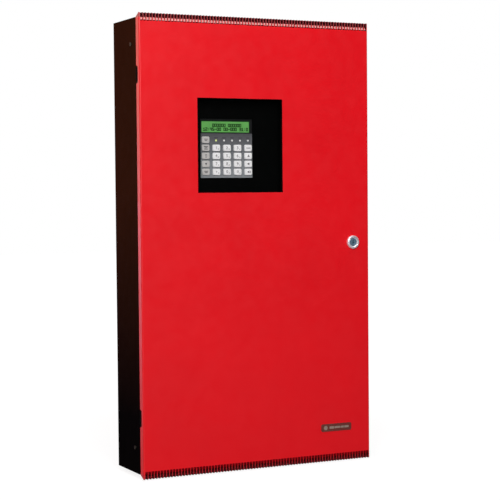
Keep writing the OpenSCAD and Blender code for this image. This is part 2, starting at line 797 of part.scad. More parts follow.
backbox();
box_hinge_leaves();
hinge_pins();
side_screws();
chassis();
board_standoffs();
main_board();
terminal_blocks();
relays();
capacitors();
chips();
transformer_core();
transformer_coil();
battery_left();
battery_right();
battery_strap();
battery_leads();
panel_brackets();
dress_panel();
panel_screws();
display_frame();
display_board();
keypad_fascia();
lcd_glass();
status_lamps();
ribbon_cable();
door();
door_hinge_leaves();
window_pane();
window_retainer();
window_fasteners();
vent_baffles();
nameplate();
lock_body();
lock_nut();
lock_plug();
lock_cam();
cam_screw();
for (row = [1:5]) for (col = [1:(row == 1 ? 1 : 5)])
    key_cap(row, col);
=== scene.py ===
"""Looks of the fire alarm control panel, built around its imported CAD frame."""

import json
import math

import bmesh
import bpy
from mathutils import Matrix, Vector


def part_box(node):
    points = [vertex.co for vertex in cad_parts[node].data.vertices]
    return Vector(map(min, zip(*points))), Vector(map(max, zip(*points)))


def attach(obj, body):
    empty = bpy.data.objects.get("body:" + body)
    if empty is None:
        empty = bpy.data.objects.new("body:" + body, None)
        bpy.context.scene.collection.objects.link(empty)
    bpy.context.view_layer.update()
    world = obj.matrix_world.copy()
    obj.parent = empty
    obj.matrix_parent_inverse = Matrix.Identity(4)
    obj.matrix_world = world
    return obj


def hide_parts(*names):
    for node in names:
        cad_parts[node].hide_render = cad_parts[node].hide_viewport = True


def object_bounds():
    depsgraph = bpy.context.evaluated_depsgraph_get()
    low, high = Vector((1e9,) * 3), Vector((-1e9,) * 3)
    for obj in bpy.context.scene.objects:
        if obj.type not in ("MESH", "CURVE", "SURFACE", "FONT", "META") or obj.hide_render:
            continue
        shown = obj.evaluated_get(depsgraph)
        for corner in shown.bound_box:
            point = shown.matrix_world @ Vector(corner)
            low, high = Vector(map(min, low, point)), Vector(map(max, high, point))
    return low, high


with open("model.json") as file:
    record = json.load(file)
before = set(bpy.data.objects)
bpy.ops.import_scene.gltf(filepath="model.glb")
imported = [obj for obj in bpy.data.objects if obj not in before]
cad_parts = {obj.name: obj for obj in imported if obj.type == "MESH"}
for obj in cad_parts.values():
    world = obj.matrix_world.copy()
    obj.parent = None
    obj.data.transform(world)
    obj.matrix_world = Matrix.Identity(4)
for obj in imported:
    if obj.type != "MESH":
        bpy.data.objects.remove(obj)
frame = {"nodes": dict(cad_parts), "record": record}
cad_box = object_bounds()
nodes = frame["nodes"]

MM = 0.001
WHITE = (1, 1, 1)
KEYS = [name for name in nodes if name.startswith("key_r")]


# ---- Camera, lights and surroundings ----

CAMERA_PLACE = (-1.01347, -2.13234, 0.07992)
CAMERA_YAW = -26.207     # degrees about +Z, from straight at the door
CAMERA_PITCH = -2.233
CAMERA_ROLL = -0.486
FOCAL_LENGTH = 105.15    # millimetres, on a sensor of 36
SENSOR_WIDTH = 36


def add_camera():
    """Camera at the viewing angle of the photograph."""
    yaw, pitch, roll = (math.radians(a) for a in (CAMERA_YAW, CAMERA_PITCH, CAMERA_ROLL))
    turn = Matrix.Rotation(yaw, 3, "Z")
    forward = turn @ Vector((0, math.cos(pitch), math.sin(pitch)))
    level = turn @ Vector((1, 0, 0))
    upright = level.cross(forward)
    right = level * math.cos(roll) + upright * math.sin(roll)
    up = upright * math.cos(roll) - level * math.sin(roll)
    data = bpy.data.cameras.new("camera")
    data.sensor_width = SENSOR_WIDTH
    data.lens = FOCAL_LENGTH
    data.clip_end = 50
    camera = bpy.data.objects.new("camera", data)
    bpy.context.scene.collection.objects.link(camera)
    facing = Matrix((right, up, -forward)).transposed().to_4x4()
    camera.matrix_world = Matrix.Translation(CAMERA_PLACE) @ facing
    bpy.context.scene.camera = camera


def add_area_light(name, place, target, size, power, colour=WHITE):
    """Soft light panel that faces a point; its power is in watts."""
    data = bpy.data.lights.new(name, "AREA")
    data.shape = "RECTANGLE"
    data.size, data.size_y = size
    data.energy = power
    data.color = colour
    light = bpy.data.objects.new(name, data)
    light.location = place
    light.rotation_euler = (Vector(target) - Vector(place)).to_track_quat("-Z", "Y").to_euler()
    bpy.context.scene.collection.objects.link(light)


FLAG_DIRECTION = (0.5, -0.85, -0.1)  # where the dark flag stands, seen from the object
OPEN_STRENGTH = 0.24                 # light from the studio away from the flag
FLAG_STRENGTH = 0.01                 # and from the flag itself


def add_surroundings():
    """White studio: the camera sees plain white. The light that it sheds is even, but for
    a dark flag that stands in front and to the right."""
    world = bpy.data.worlds.new("studio")
    bpy.context.scene.world = world
    world.use_nodes = True
    tree = world.node_tree
    tree.nodes.clear()
    output = tree.nodes.new("ShaderNodeOutputWorld")
    mix = tree.nodes.new("ShaderNodeMixShader")
    path = tree.nodes.new("ShaderNodeLightPath")
    seen = tree.nodes.new("ShaderNodeBackground")
    seen.inputs["Color"].default_value = (1, 1, 1, 1)
    seen.inputs["Strength"].default_value = 1.0
    shed = tree.nodes.new("ShaderNodeBackground")
    shed.inputs["Color"].default_value = (1, 1, 1, 1)
    direction = tree.nodes.new("ShaderNodeTexCoord")
    toward_flag = tree.nodes.new("ShaderNodeVectorMath")
    toward_flag.operation = "DOT_PRODUCT"
    toward_flag.inputs[1].default_value = Vector(FLAG_DIRECTION).normalized()
    strength = tree.nodes.new("ShaderNodeMapRange")
    strength.inputs["From Min"].default_value = 0.1
    strength.inputs["From Max"].default_value = 0.8
    strength.inputs["To Min"].default_value = OPEN_STRENGTH
    strength.inputs["To Max"].default_value = FLAG_STRENGTH
    tree.links.new(direction.outputs["Generated"], toward_flag.inputs[0])
    tree.links.new(toward_flag.outputs["Value"], strength.inputs["Value"])
    tree.links.new(strength.outputs[0], shed.inputs["Strength"])
    tree.links.new(path.outputs["Is Camera Ray"], mix.inputs["Fac"])
    tree.links.new(shed.outputs[0], mix.inputs[1])
    tree.links.new(seen.outputs[0], mix.inputs[2])
    tree.links.new(mix.outputs[0], output.inputs["Surface"])
    scene = bpy.context.scene
    scene.view_settings.view_transform = "Standard"
    scene.view_settings.look = "None"


FLOOR_HALF = 8           # half the floor's width
FLOOR_GAP = 2 * MM       # between the floor and the object's foot
SHADE_RADIUS = 0.45      # the floor is a little darker within this distance of the object
FADE_RADIUS = 1.3        # and as white as the studio beyond this one


def add_floor():
    """Pale studio floor just under the object, which fades into the white around it."""
    half = FLOOR_HALF
    level = cad_box[0].z - FLOOR_GAP
    mesh = bpy.data.meshes.new("floor")
    mesh.from_pydata([(-half, -half, level), (half, -half, level), (half, half, level),
                      (-half, half, level)], [], [(0, 1, 2, 3)])
    floor = bpy.data.objects.new("floor", mesh)
    bpy.context.scene.collection.objects.link(floor)
    material = bpy.data.materials.new("floor")
    material.use_nodes = True
    tree = material.node_tree
    shader = tree.nodes["Principled BSDF"]
    shader.inputs["Roughness"].default_value = 0.9
    shader.inputs["Specular IOR Level"].default_value = 0.0
    shader.inputs["Emission Color"].default_value = (1, 1, 1, 1)
    grain = tree.nodes.new("ShaderNodeTexNoise")
    grain.inputs["Scale"].default_value = 40
    shade = tree.nodes.new("ShaderNodeMapRange")
    shade.inputs["To Min"].default_value = 0.2
    shade.inputs["To Max"].default_value = 0.24
    tree.links.new(grain.outputs["Fac"], shade.inputs["Value"])
    tree.links.new(shade.outputs[0], shader.inputs["Base Color"])
    place = tree.nodes.new("ShaderNodeTexCoord")
    distance = tree.nodes.new("ShaderNodeVectorMath")
    distance.operation = "LENGTH"
    fade = tree.nodes.new("ShaderNodeMapRange")
    fade.interpolation_type = "SMOOTHSTEP"
    fade.inputs["From Min"].default_value = SHADE_RADIUS
    fade.inputs["From Max"].default_value = FADE_RADIUS
    fade.inputs["To Min"].default_value = 0.86
    fade.inputs["To Max"].default_value = 1.02
    path = tree.nodes.new("ShaderNodeLightPath")
    glow = tree.nodes.new("ShaderNodeMath")
    glow.operation = "MULTIPLY"
    tree.links.new(place.outputs["Object"], distance.inputs[0])
    tree.links.new(distance.outputs["Value"], fade.inputs["Value"])
    tree.links.new(path.outputs["Is Camera Ray"], glow.inputs[0])
    tree.links.new(fade.outputs[0], glow.inputs[1])
    tree.links.new(glow.outputs[0], shader.inputs["Emission Strength"])
    mesh.materials.append(material)


add_camera()
add_surroundings()
add_floor()
add_area_light("key", place=(-0.95, -2.45, 1.15), target=(0, 0, 0.05), size=(1.6, 1.6), power=82)
add_area_light("overhead", place=(0.0, -0.3, 1.5), target=(0, -0.1, 0.3), size=(1.6, 0.7), power=7)
add_area_light("left_panel", place=(-1.6, 1.7, 0.25), target=(-0.2, -0.05, 0.1), size=(1.3, 1.4),
               power=23, colour=(1, 0.56, 0.4))
add_area_light("left_low", place=(-1.5, 1.6, -0.1), target=(-0.2, -0.05, -0.3), size=(1.2, 0.4),
               power=4, colour=(0.5, 0.3, 1))


# ---- Materials ----

def srgb(red, green, blue):
    """Linear colour of a screen colour given from 0 to 255."""
    def linear(value):
        value /= 255
        return value / 12.92 if value <= 0.04045 else ((value + 0.055) / 1.055) ** 2.4
    return (linear(red), linear(green), linear(blue), 1)


def scaled(colour, factor):
    """The colour made brighter or darker by a factor."""
    return tuple(min(1, c * factor) for c in colour[:3]) + (1,)


class Paint:
    """A material's nodes, with short names for what most of them need."""

    def __init__(self, name):
        self.material = bpy.data.materials.new(name)
        self.material.use_nodes = True
        self.tree = self.material.node_tree
        self.shader = self.tree.nodes["Principled BSDF"]
        self.place = self.tree.nodes.new("ShaderNodeTexCoord").outputs["Object"]

    def set(self, **values):
        """Sets the shader's own values; an underscore stands for a space."""
        for name, value in values.items():
            self.shader.inputs[name.replace("_", " ")].default_value = value

    def noise(self, scale, detail=3, roughness=0.5, stretch=(1, 1, 1)):
        """Noise over the object; scale is in cycles per metre."""
        mapping = self.tree.nodes.new("ShaderNodeMapping")
        mapping.inputs["Scale"].default_value = stretch
        self.tree.links.new(self.place, mapping.inputs["Vector"])
        node = self.tree.nodes.new("ShaderNodeTexNoise")
        node.inputs["Scale"].default_value = scale
        node.inputs["Detail"].default_value = detail
        node.inputs["Roughness"].default_value = roughness
        self.tree.links.new(mapping.outputs[0], node.inputs["Vector"])
        return node.outputs["Fac"]

    def cells(self, scale):
        """A random shade for each cell of a spangled surface."""
        node = self.tree.nodes.new("ShaderNodeTexVoronoi")
        node.inputs["Scale"].default_value = scale
        self.tree.links.new(self.place, node.inputs["Vector"])
        split = self.tree.nodes.new("ShaderNodeSeparateColor")
        self.tree.links.new(node.outputs["Color"], split.inputs[0])
        return split.outputs[0]

    def spread(self, value, low, high, start=0.3, end=0.7):
        """Maps a pattern's range start..end to low..high."""
        node = self.tree.nodes.new("ShaderNodeMapRange")
        node.inputs["From Min"].default_value = start
        node.inputs["From Max"].default_value = end
        node.inputs["To Min"].default_value = low
        node.inputs["To Max"].default_value = high
        self.tree.links.new(value, node.inputs["Value"])
        return node.outputs[0]

    def mix(self, amount, first, second):
        """Blends two colours or colour sockets by an amount from 0 to 1."""
        node = self.tree.nodes.new("ShaderNodeMix")
        node.data_type = "RGBA"
        for name, source in (("A", first), ("B", second)):
            if isinstance(source, tuple):
                node.inputs[name].default_value = source
            else:
                self.tree.links.new(source, node.inputs[name])
        self.tree.links.new(amount, node.inputs["Factor"])
        return node.outputs["Result"]

    def between(self, value, first, second, start=0.3, end=0.7):
        """Blends two colours by a pattern."""
        return self.mix(self.spread(value, 0, 1, start, end), first, second)

    def along(self, axis, start, end):
        """0 to 1 between two places along an axis of the object."""
        split = self.tree.nodes.new("ShaderNodeSeparateXYZ")
        self.tree.links.new(self.place, split.inputs[0])
        return self.spread(split.outputs[axis], 0, 1, start, end)

    def worn(self, base, bare, most=0.7, scale=90):
        """Shows the bare colour in patches along the softened edges."""
        edge = self.tree.nodes.new("ShaderNodeAttribute")
        edge.attribute_name = "wear"
        patches = self.spread(self.noise(scale, 5, 0.7), 0, most, 0.5, 0.62)
        amount = self.tree.nodes.new("ShaderNodeMath")
        amount.operation = "MULTIPLY"
        self.tree.links.new(edge.outputs["Fac"], amount.inputs[0])
        self.tree.links.new(patches, amount.inputs[1])
        return self.mix(amount.outputs[0], base, bare)

    def colour(self, socket):
        """Drives the base colour by a socket."""
        self.tree.links.new(socket, self.shader.inputs["Base Color"])

    def roughness(self, socket):
        """Drives the roughness by a socket."""
        self.tree.links.new(socket, self.shader.inputs["Roughness"])

    def bump(self, *layers):
        """Bump layers, each (pattern, height in metres)."""
        last = None
        for pattern, height in layers:
            node = self.tree.nodes.new("ShaderNodeBump")
            node.inputs["Strength"].default_value = 1
            node.inputs["Distance"].default_value = height
            self.tree.links.new(pattern, node.inputs["Height"])
            if last:
                self.tree.links.new(last, node.inputs["Normal"])
            last = node.outputs[0]
        self.tree.links.new(last, self.shader.inputs["Normal"])


def powder_coat(name, colour, gloss, specular, peel, bare):
    """Baked paint with orange peel, faint cloudiness, and rubbed edges. gloss is the range
    of the roughness, and peel the height of the orange peel in metres."""
    paint = Paint(name)
    cloud = paint.between(paint.noise(9, 4), scaled(colour, 0.96), scaled(colour, 1.03))
    paint.colour(paint.worn(cloud, bare))
    paint.roughness(paint.spread(paint.noise(60, 5), *gloss))
    paint.bump((paint.noise(420, 2, 0.4), peel), (paint.noise(2600, 2), peel * 0.25))
    paint.set(Specular_IOR_Level=specular)
    return paint.material


UPPER_SHADE_BAND = (7.5 * MM, 6.5 * MM)  # the painted shade starts and is full this far below the door's top
LOWER_SHADE_BAND = (9 * MM, 5 * MM)      # and this far above its foot


def red_paint():
    """Red powder coat of the door, darkened by painted shade along its two rows of vents."""
    paint = Paint("red_paint")
    red = paint.between(paint.noise(9, 4), (0.69, 0.001, 0.0065, 1), (0.74, 0.0012, 0.007, 1))
    # painted shade: a darker, duller red along the rows of vents at the door's top and foot
    upper = paint.along("Z", *(door_high.z - depth for depth in UPPER_SHADE_BAND))
    lower = paint.along("Z", *(door_low.z + depth for depth in LOWER_SHADE_BAND))
    red = paint.mix(upper, red, (0.4, 0.052, 0.057, 1))
    red = paint.mix(lower, red, (0.52, 0.02, 0.028, 1))
    paint.colour(paint.worn(red, (0.75, 0.012, 0.016, 1)))
    paint.roughness(paint.spread(paint.noise(60, 5), 0.39, 0.47))
    paint.bump((paint.noise(420, 2, 0.4), 0.00002), (paint.noise(2600, 2), 0.000005))
    paint.set(Specular_IOR_Level=0.45)
    return paint.material


WARM_LIGHT_START = -0.26  # height at which the box's painted warm light begins
WARM_LIGHT_FULL = 0.08    # and at which it is full


def box_paint():
    """Flat black wrinkle paint of the box, browned on its upper half by a painted warm light."""
    paint = Paint("black_paint")
    # painted light: a warm brown over the upper half, which fades into the black below
    warm_lit = paint.between(paint.noise(14, 5), (0.026, 0.0066, 0.0021, 1), (0.031, 0.0082, 0.003, 1))
    plain_black = paint.between(paint.noise(20, 5), (0.0007, 0.0006, 0.0007, 1), (0.0012, 0.001, 0.0012, 1))
    whole = paint.mix(paint.along("Z", WARM_LIGHT_START, WARM_LIGHT_FULL), plain_black, warm_lit)
    paint.colour(paint.worn(whole, (0.02, 0.014, 0.012, 1), 0.5))
    paint.roughness(paint.spread(paint.noise(60, 5), 0.62, 0.75))
    paint.bump((paint.noise(650, 4, 0.6), 0.00005), (paint.noise(2600, 2), 0.00001))
    paint.set(Specular_IOR_Level=0.004)
    return paint.material


def bare_metal(name, colour, gloss, brush=(1, 1, 1), spangle=0.0, metal=1.0):
    """Metal with a brushed or spangled plating."""
    paint = Paint(name)
    pattern = paint.cells(180) if spangle else paint.noise(300, 4, 0.6, brush)
    change = spangle or 0.12
    plate = paint.between(pattern, scaled(colour, 1 - change), scaled(colour, 1 + change), 0, 1)
    paint.colour(paint.worn(plate, scaled(colour, 1.25), 0.8, 300))
    paint.roughness(paint.spread(paint.noise(240, 5, 0.6, brush), *gloss))
    paint.bump((paint.noise(900, 3, 0.6, brush), 0.00002))
    paint.set(Metallic=metal)
    return paint.material


def plastic(name, colour, gloss, grain=0.00002, grain_scale=1600, specular=0.5):
    """Moulded plastic with a fine grain and paler edges."""
    paint = Paint(name)
    body = paint.between(paint.noise(70, 4), scaled(colour, 0.93), scaled(colour, 1.05))
    paint.colour(paint.worn(body, scaled(colour, 1.35), 0.5, 200))
    paint.roughness(paint.spread(paint.noise(350, 4), *gloss))
    paint.bump((paint.noise(grain_scale, 3, 0.6), grain))
    paint.set(Specular_IOR_Level=specular)
    return paint.material


def clear_sheet():
    """Clear polycarbonate: see-through, with faint scratches that only its gloss shows."""
    paint = Paint("clear_sheet")
    tint = (0.001, 0.0013, 0.0012, 1), (0.002, 0.0024, 0.0022, 1)
    paint.colour(paint.between(paint.noise(30, 3), *tint))
    paint.roughness(paint.spread(paint.noise(600, 4, 0.6, (1, 1, 0.05)), 0.03, 0.09))
    paint.set(Alpha=0.05, IOR=1.5)
    return paint.material


def circuit_board():
    """Green solder mask over copper traces."""
    paint = Paint("circuit_board")
    mapping = paint.tree.nodes.new("ShaderNodeMapping")
    mapping.inputs["Rotation"].default_value = (math.radians(90), 0, 0)
    paint.tree.links.new(paint.place, mapping.inputs["Vector"])
    traces = paint.tree.nodes.new("ShaderNodeTexBrick")
    traces.offset = 0.37
    traces.inputs["Scale"].default_value = 60
    traces.inputs["Mortar Size"].default_value = 0.012
    traces.inputs["Brick Width"].default_value = 0.9
    traces.inputs["Row Height"].default_value = 0.16
    paint.tree.links.new(mapping.outputs[0], traces.inputs["Vector"])
    paint.colour(paint.between(traces.outputs["Fac"], srgb(14, 84, 44), srgb(44, 128, 66), 0, 1))
    paint.roughness(paint.spread(paint.noise(200, 3), 0.25, 0.4))
    paint.bump((traces.outputs["Fac"], 0.00003))
    return paint.material


def fascia_film():
    """Printed film of the keypad: grey, darkened towards the display by painted shade and paler towards its
    foot.
    """
    paint = Paint("fascia_film")
    foot, head = fascia_low.z, fascia_high.z
    pale = paint.between(paint.noise(60, 3), srgb(132, 136, 140), srgb(142, 146, 150))
    dark = paint.between(paint.noise(60, 3), srgb(72, 72, 76), srgb(80, 80, 84))
    # painted shade: darker towards the top, under the window's edge
    paint.colour(paint.mix(paint.along("Z", foot, head), pale, dark))
    paint.roughness(paint.spread(paint.noise(350, 4), 0.45, 0.6))
    paint.bump((paint.noise(1800, 3, 0.6), 0.00002))
    return paint.material


def glowing(name, first, second, glow, strength):
    """Lit glass or lens: its own colour with a glow of another over it."""
    paint = Paint(name)
    paint.colour(paint.between(paint.noise(90, 3), first, second))
    light = paint.between(paint.noise(60, 2), scaled(glow, 0.88), scaled(glow, 1.06))
    paint.tree.links.new(light, paint.shader.inputs["Emission Color"])
    paint.set(Emission_Strength=strength)
    paint.roughness(paint.spread(paint.noise(500, 3), 0.15, 0.25))
    return paint.material


# boxes of the nodes on which materials and prints depend
door_low, door_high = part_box("door")
baffle_low, baffle_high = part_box("vent_baffles")
fascia_low, fascia_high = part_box("keypad_fascia")
lamp_low, lamp_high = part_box("status_lamps")
glass_low, glass_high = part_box("lcd_glass")
plate_low, plate_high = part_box("nameplate")

RED_PAINT = red_paint()
# the inside of the red door is painted dark as painted shade
DOOR_INSIDE_SHADE = powder_coat("door_inside_shade", (0.085, 0.006, 0.008, 1), (0.5, 0.6), 0.1, 0.00002,
                          (0.1, 0.01, 0.01, 1))
BLACK_PAINT = box_paint()
PANEL_PAINT = powder_coat("panel_paint", (0.0008, 0.001, 0.001, 1), (0.5, 0.6), 0.03, 0.00003,
                          (0.01, 0.01, 0.01, 1))
DARK_STEEL = powder_coat("dark_steel", (0.004, 0.0025, 0.002, 1), (0.5, 0.6), 0.02, 0.00002,
                         (0.05, 0.045, 0.04, 1))
SCREW_STEEL = bare_metal("screw_steel", (0.03, 0.03, 0.024, 1), (0.5, 0.6))
ZINC = bare_metal("zinc_plate", (0.56, 0.58, 0.6, 1), (0.28, 0.45))
GALVANISED = bare_metal("galvanised", (0.6, 0.61, 0.62, 1), (0.35, 0.5), spangle=0.14)
CHROME = bare_metal("chrome", (0.86, 0.82, 0.88, 1), (0.26, 0.34), metal=0.62)
LOCK_STEEL = bare_metal("lock_steel", (0.22, 0.38, 0.5, 1), (0.3, 0.38), metal=0.7)
BRASS = bare_metal("brass", (0.72, 0.52, 0.22, 1), (0.25, 0.4))
CORE_STEEL = bare_metal("core_steel", (0.28, 0.28, 0.3, 1), (0.4, 0.6), (1, 1, 0.02))
# the lower baffle is painted dark red as painted shade
BAFFLE_SHADE = powder_coat("baffle_shade", (0.29, 0.004, 0.009, 1), (0.5, 0.6), 0.05, 0.00002,
                         (0.2, 0.01, 0.012, 1))
# the upper baffle's lip is pale paint brightened into a painted highlight
BAFFLE_HIGHLIGHT = powder_coat("baffle_highlight", (0.75, 0.3, 0.29, 1), (0.4, 0.5), 0.2, 0.00002,
                           (0.6, 0.6, 0.6, 1))
BLACK_PLASTIC = plastic("black_plastic", srgb(16, 16, 17), (0.45, 0.6), specular=0.2)
CHIP_PLASTIC = plastic("chip_plastic", srgb(26, 26, 27), (0.6, 0.75))
BATTERY_PLASTIC = plastic("battery_plastic", srgb(38, 38, 42), (0.45, 0.6), 0.00004)
TERMINAL_PLASTIC = plastic("terminal_plastic", srgb(34, 120, 62), (0.4, 0.5))
RELAY_PLASTIC = plastic("relay_plastic", srgb(38, 72, 150), (0.3, 0.4))
CAPACITOR_SLEEVE = plastic("capacitor_sleeve", srgb(32, 34, 60), (0.25, 0.35))
TAPE = plastic("winding_tape", srgb(205, 165, 60), (0.3, 0.45), 0.00003, 500)
KEY_WHITE = plastic("key_white", (0.93, 0.915, 0.925, 1), (0.35, 0.45))
KEY_GREY = plastic("key_grey", (0.57, 0.545, 0.53, 1), (0.35, 0.45))
LEGEND_INK = plastic("legend_ink", srgb(58, 54, 60), (0.5, 0.6), 0.000005)
RIBBON_GREY = plastic("ribbon_grey", srgb(150, 152, 156), (0.4, 0.5))
WIRE_RED = plastic("wire_red", srgb(186, 24, 20), (0.3, 0.4))
WIRE_BLACK = plastic("wire_black", srgb(26, 26, 28), (0.3, 0.4))
WIRE_BLUE = plastic("wire_blue", srgb(36, 66, 150), (0.3, 0.4))
LABEL_PAPER = plastic("label_paper", srgb(206, 208, 204), (0.5, 0.65), 0.00001)
LABEL_BAND = plastic("label_band", srgb(44, 92, 150), (0.5, 0.65), 0.00001)
PLATE_BROWN = powder_coat("plate_brown", (0.13, 0.031, 0.025, 1), (0.35, 0.45), 0.3, 0.00001,
                          (0.2, 0.16, 0.13, 1))
PLATE_SILVER = bare_metal("plate_silver", (0.4, 0.29, 0.24, 1), (0.45, 0.55), metal=0.5)
CLEAR_SHEET = clear_sheet()
CIRCUIT_BOARD = circuit_board()
FASCIA = fascia_film()
LCD_BACKLIGHT = glowing("lcd_backlight", (0.03, 0.09, 0.025, 1), (0.04, 0.11, 0.03, 1),
                        (0.105, 0.33, 0.08, 1), 0.9)
LCD_INK = plastic("lcd_ink", (0.002, 0.018, 0.002, 1), (0.3, 0.4), 0.000002, specular=0.2)
LCD_EDGE = plastic("lcd_edge", (0.008, 0.03, 0.01, 1), (0.3, 0.4), 0.000002, specular=0.2)
LAMP_ON = glowing("lamp_on", (0.4, 0.45, 0.15, 1), (0.45, 0.5, 0.18, 1), (0.62, 0.7, 0.26, 1), 0.75)
# the unlit lamps get a faint white glow, which is painted light
LAMP_OFF = glowing("lamp_off", (0.8, 0.8, 0.78, 1), (0.88, 0.88, 0.86, 1), (1, 1, 1, 1), 0.1)


# ---- Shapes ----

WELD = 0.002 * MM                 # corners closer than this are one
FLAT = math.radians(0.5)          # faces that turn by less than this are one
ROUNDED = math.radians(30)        # edges that turn by more than this are rounded
SHARP = math.radians(50)          # and by more than this are shaded as sharp
ROUNDING_STEPS = 2


def new_piece(name, body, shape, materials, replaces=None):
    """Makes a piece from a bmesh, gives it its materials and joins it to the frame."""
    mesh = bpy.data.meshes.new(name)
    shape.normal_update()
    shape.to_mesh(mesh)
    shape.free()
    piece = bpy.data.objects.new(name, mesh)
    bpy.context.scene.collection.objects.link(piece)
    for material in materials if isinstance(materials, list) else [materials]:
        mesh.materials.append(material)
    even = piece.modifiers.new("even_normals", "WEIGHTED_NORMAL")
    even.weight = 100
    even.keep_sharp = True
    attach(piece, body)
    if replaces:
        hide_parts(replaces)


def welded(node):
    """The node's shape with its corners joined and its flat faces whole."""
    source = nodes[node].data
    shape = bmesh.new()
    corners = [shape.verts.new(v.co) for v in source.vertices]
    for triangle in source.polygons:
        shape.faces.new([corners[i] for i in triangle.vertices])
    bmesh.ops.remove_doubles(shape, verts=shape.verts, dist=WELD)
    bmesh.ops.dissolve_limit(shape, angle_limit=FLAT, verts=shape.verts, edges=shape.edges)
    return shape


def soften(shape, width):
    """Rounds the edges by a width, marks what it rounds for wear, and smooths the rest."""
    wear = shape.faces.layers.float.new("wear")
    if width:
        edges = [e for e in shape.edges if len(e.link_faces) == 2 and e.calc_face_angle() > ROUNDED]
        rounded = bmesh.ops.bevel(shape, geom=edges, offset=width, segments=ROUNDING_STEPS,
                                  profile=0.5, affect="EDGES", clamp_overlap=True)
        for face in rounded["faces"]:
            face[wear] = 1
    for face in shape.faces:
        face.smooth = True
    for edge in shape.edges:
        edge.smooth = len(edge.link_faces) == 2 and edge.calc_face_angle() < SHARP


def body_of(node):
    """The body that the node moves with."""
    bodies = frame["record"]["behaviour"]["bodies"]
    return next(body for body, members in bodies.items() if node in members)


def refine(node, materials, width, choose=None):
    """A finished copy of a CAD node, with edges rounded by a width in millimetres, standing
    for it. choose picks the number of a face's material from the face's middle."""
    shape = welded(node)
    soften(shape, width * MM)
    if choose:
        for face in shape.faces:
            face.material_index = choose(face.calc_center_median())
    new_piece(node + "_finish", body_of(node), shape, materials, node)


def add_block(shape, low, high):
    """Adds a closed box between two corners."""
    corners = [shape.verts.new((x, y, z)) for x in (low[0], high[0]) for y in (low[1], high[1])
               for z in (low[2], high[2])]
    for side in ((0, 1, 3, 2), (4, 6, 7, 5), (0, 4, 5, 1), (2, 3, 7, 6), (0, 2, 6, 4), (1, 5, 7, 3)):
        shape.faces.new([corners[i] for i in side])


def add_prism(shape, outline, front, back, index=0):
    """Adds a closed slab with an (x, z) outline, from one y to another, in one material."""
    near = [shape.verts.new((x, front, z)) for x, z in outline]
    far = [shape.verts.new((x, back, z)) for x, z in outline]
    count = len(outline)
    faces = [shape.faces.new(near), shape.faces.new(far[::-1])]
    for i in range(count):
        j = (i + 1) % count
        faces.append(shape.faces.new((near[i], far[i], far[j], near[j])))
    for face in faces:
        face.material_index = index


def rounded_outline(x, z, width, height, radius):
    """Outline of an upright rectangle with rounded corners, about a middle."""
    steps = 4
    points = []
    for corner, (sx, sz) in enumerate(((1, 1), (-1, 1), (-1, -1), (1, -1))):
        for step in range(steps + 1):
            angle = math.radians(90 * (corner + step / steps))
            points.append((x + sx * (width / 2 - radius) + radius * math.cos(angle),
                           z + sz * (height / 2 - radius) + radius * math.sin(angle)))
    return points


def closed(shape):
    """The shape with every face turned outwards."""
    bmesh.ops.recalc_face_normals(shape, faces=shape.faces)
    return shape


DIGIT_SHARE = 0.72  # height of a digit as a share of the font's size


def add_digits(shape, text, x, z, height, front, thickness):
    """Adds a raised digit or sign that faces -Y, about a middle."""
    curve = bpy.data.curves.new("sign", "FONT")
    curve.body = text
    curve.size = height / DIGIT_SHARE
    curve.align_x = "CENTER"
    curve.align_y = "CENTER"
    curve.extrude = thickness / 2
    curve.resolution_u = 3
    holder = bpy.data.objects.new("sign", curve)
    mesh = bpy.data.meshes.new_from_object(holder)
    places = [v.co for v in mesh.vertices]
    middle_x = (min(p.x for p in places) + max(p.x for p in places)) / 2
    middle_y = (min(p.y for p in places) + max(p.y for p in places)) / 2
    corners = [shape.verts.new((x + p.x - middle_x, front + thickness / 2 - p.z, z + p.y - middle_y))
               for p in places]
    for face in mesh.polygons:
        shape.faces.new([corners[i] for i in face.vertices])
    bpy.data.objects.remove(holder)
    bpy.data.curves.remove(curve)
    bpy.data.meshes.remove(mesh)


# ---- CAD nodes with finished edges ----

LINK_HALF = 35 * MM                     # half the width of the link between the batteries
LINK_TOP = -210 * MM
RED_LEAD_X = 113 * MM                   # the red lead stays to the right of this
FOLD = 2.2 * MM                         # radius of the door's folds
CORE_SHARE = 0.75
LIP_DEPTH = 4.9 * MM                    # how far a baffle's slanted lip reaches down
BAFFLE_SKIN = 0.2 * MM
LAMP_WIDTH = 3 * MM
CAN_STEP = 22 * MM                      # the small capacitors are lower than the large by this
TERMINAL_RISE = 5 * MM                  # the terminals stand up from the batteries by this
TOUCH = 0.1 * MM                        # what counts as the same place

can_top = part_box("capacitors")[0].y
battery_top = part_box("battery_left")[1].z - TERMINAL_RISE


def lead_colour(middle):
    """0 for the red lead, 1 for the black one, 2 for the blue link between the batteries."""
    if abs(middle.x) < LINK_HALF and middle.z < LINK_TOP:
        return 2
    return 0 if middle.x > RED_LEAD_X else 1


def door_side(middle):
    """0 for the outer faces of the door, 1 for its inside and the walls of its openings, painted
    dark as painted shade: the outer ones are more than most of a fold's radius from a core inside the folds."""
    past = (abs(middle.x) - door_high.x + FOLD,
            door_low.y + FOLD - middle.y,
            abs(middle.z) - door_high.z + FOLD)
    return 0 if math.hypot(*[max(p, 0) for p in past]) > CORE_SHARE * FOLD else 1


def baffle_side(middle):
    """0 for the slanted lip of the upper baffle, painted pale as a painted highlight, 1 for the rest of it,
    painted dark as painted shade, 2 for the lower baffle, painted dark red as painted shade.
    """
    if middle.z < 0:
        return 2
    lip = middle.z > baffle_high.z - LIP_DEPTH and middle.y > baffle_low.y + BAFFLE_SKIN
    return 0 if lip else 1


def lamp_state(middle):
    """0 for the first lamp, which is lit, 1 for the others."""
    return 0 if middle.x < lamp_low.x + LAMP_WIDTH + 1 * MM else 1


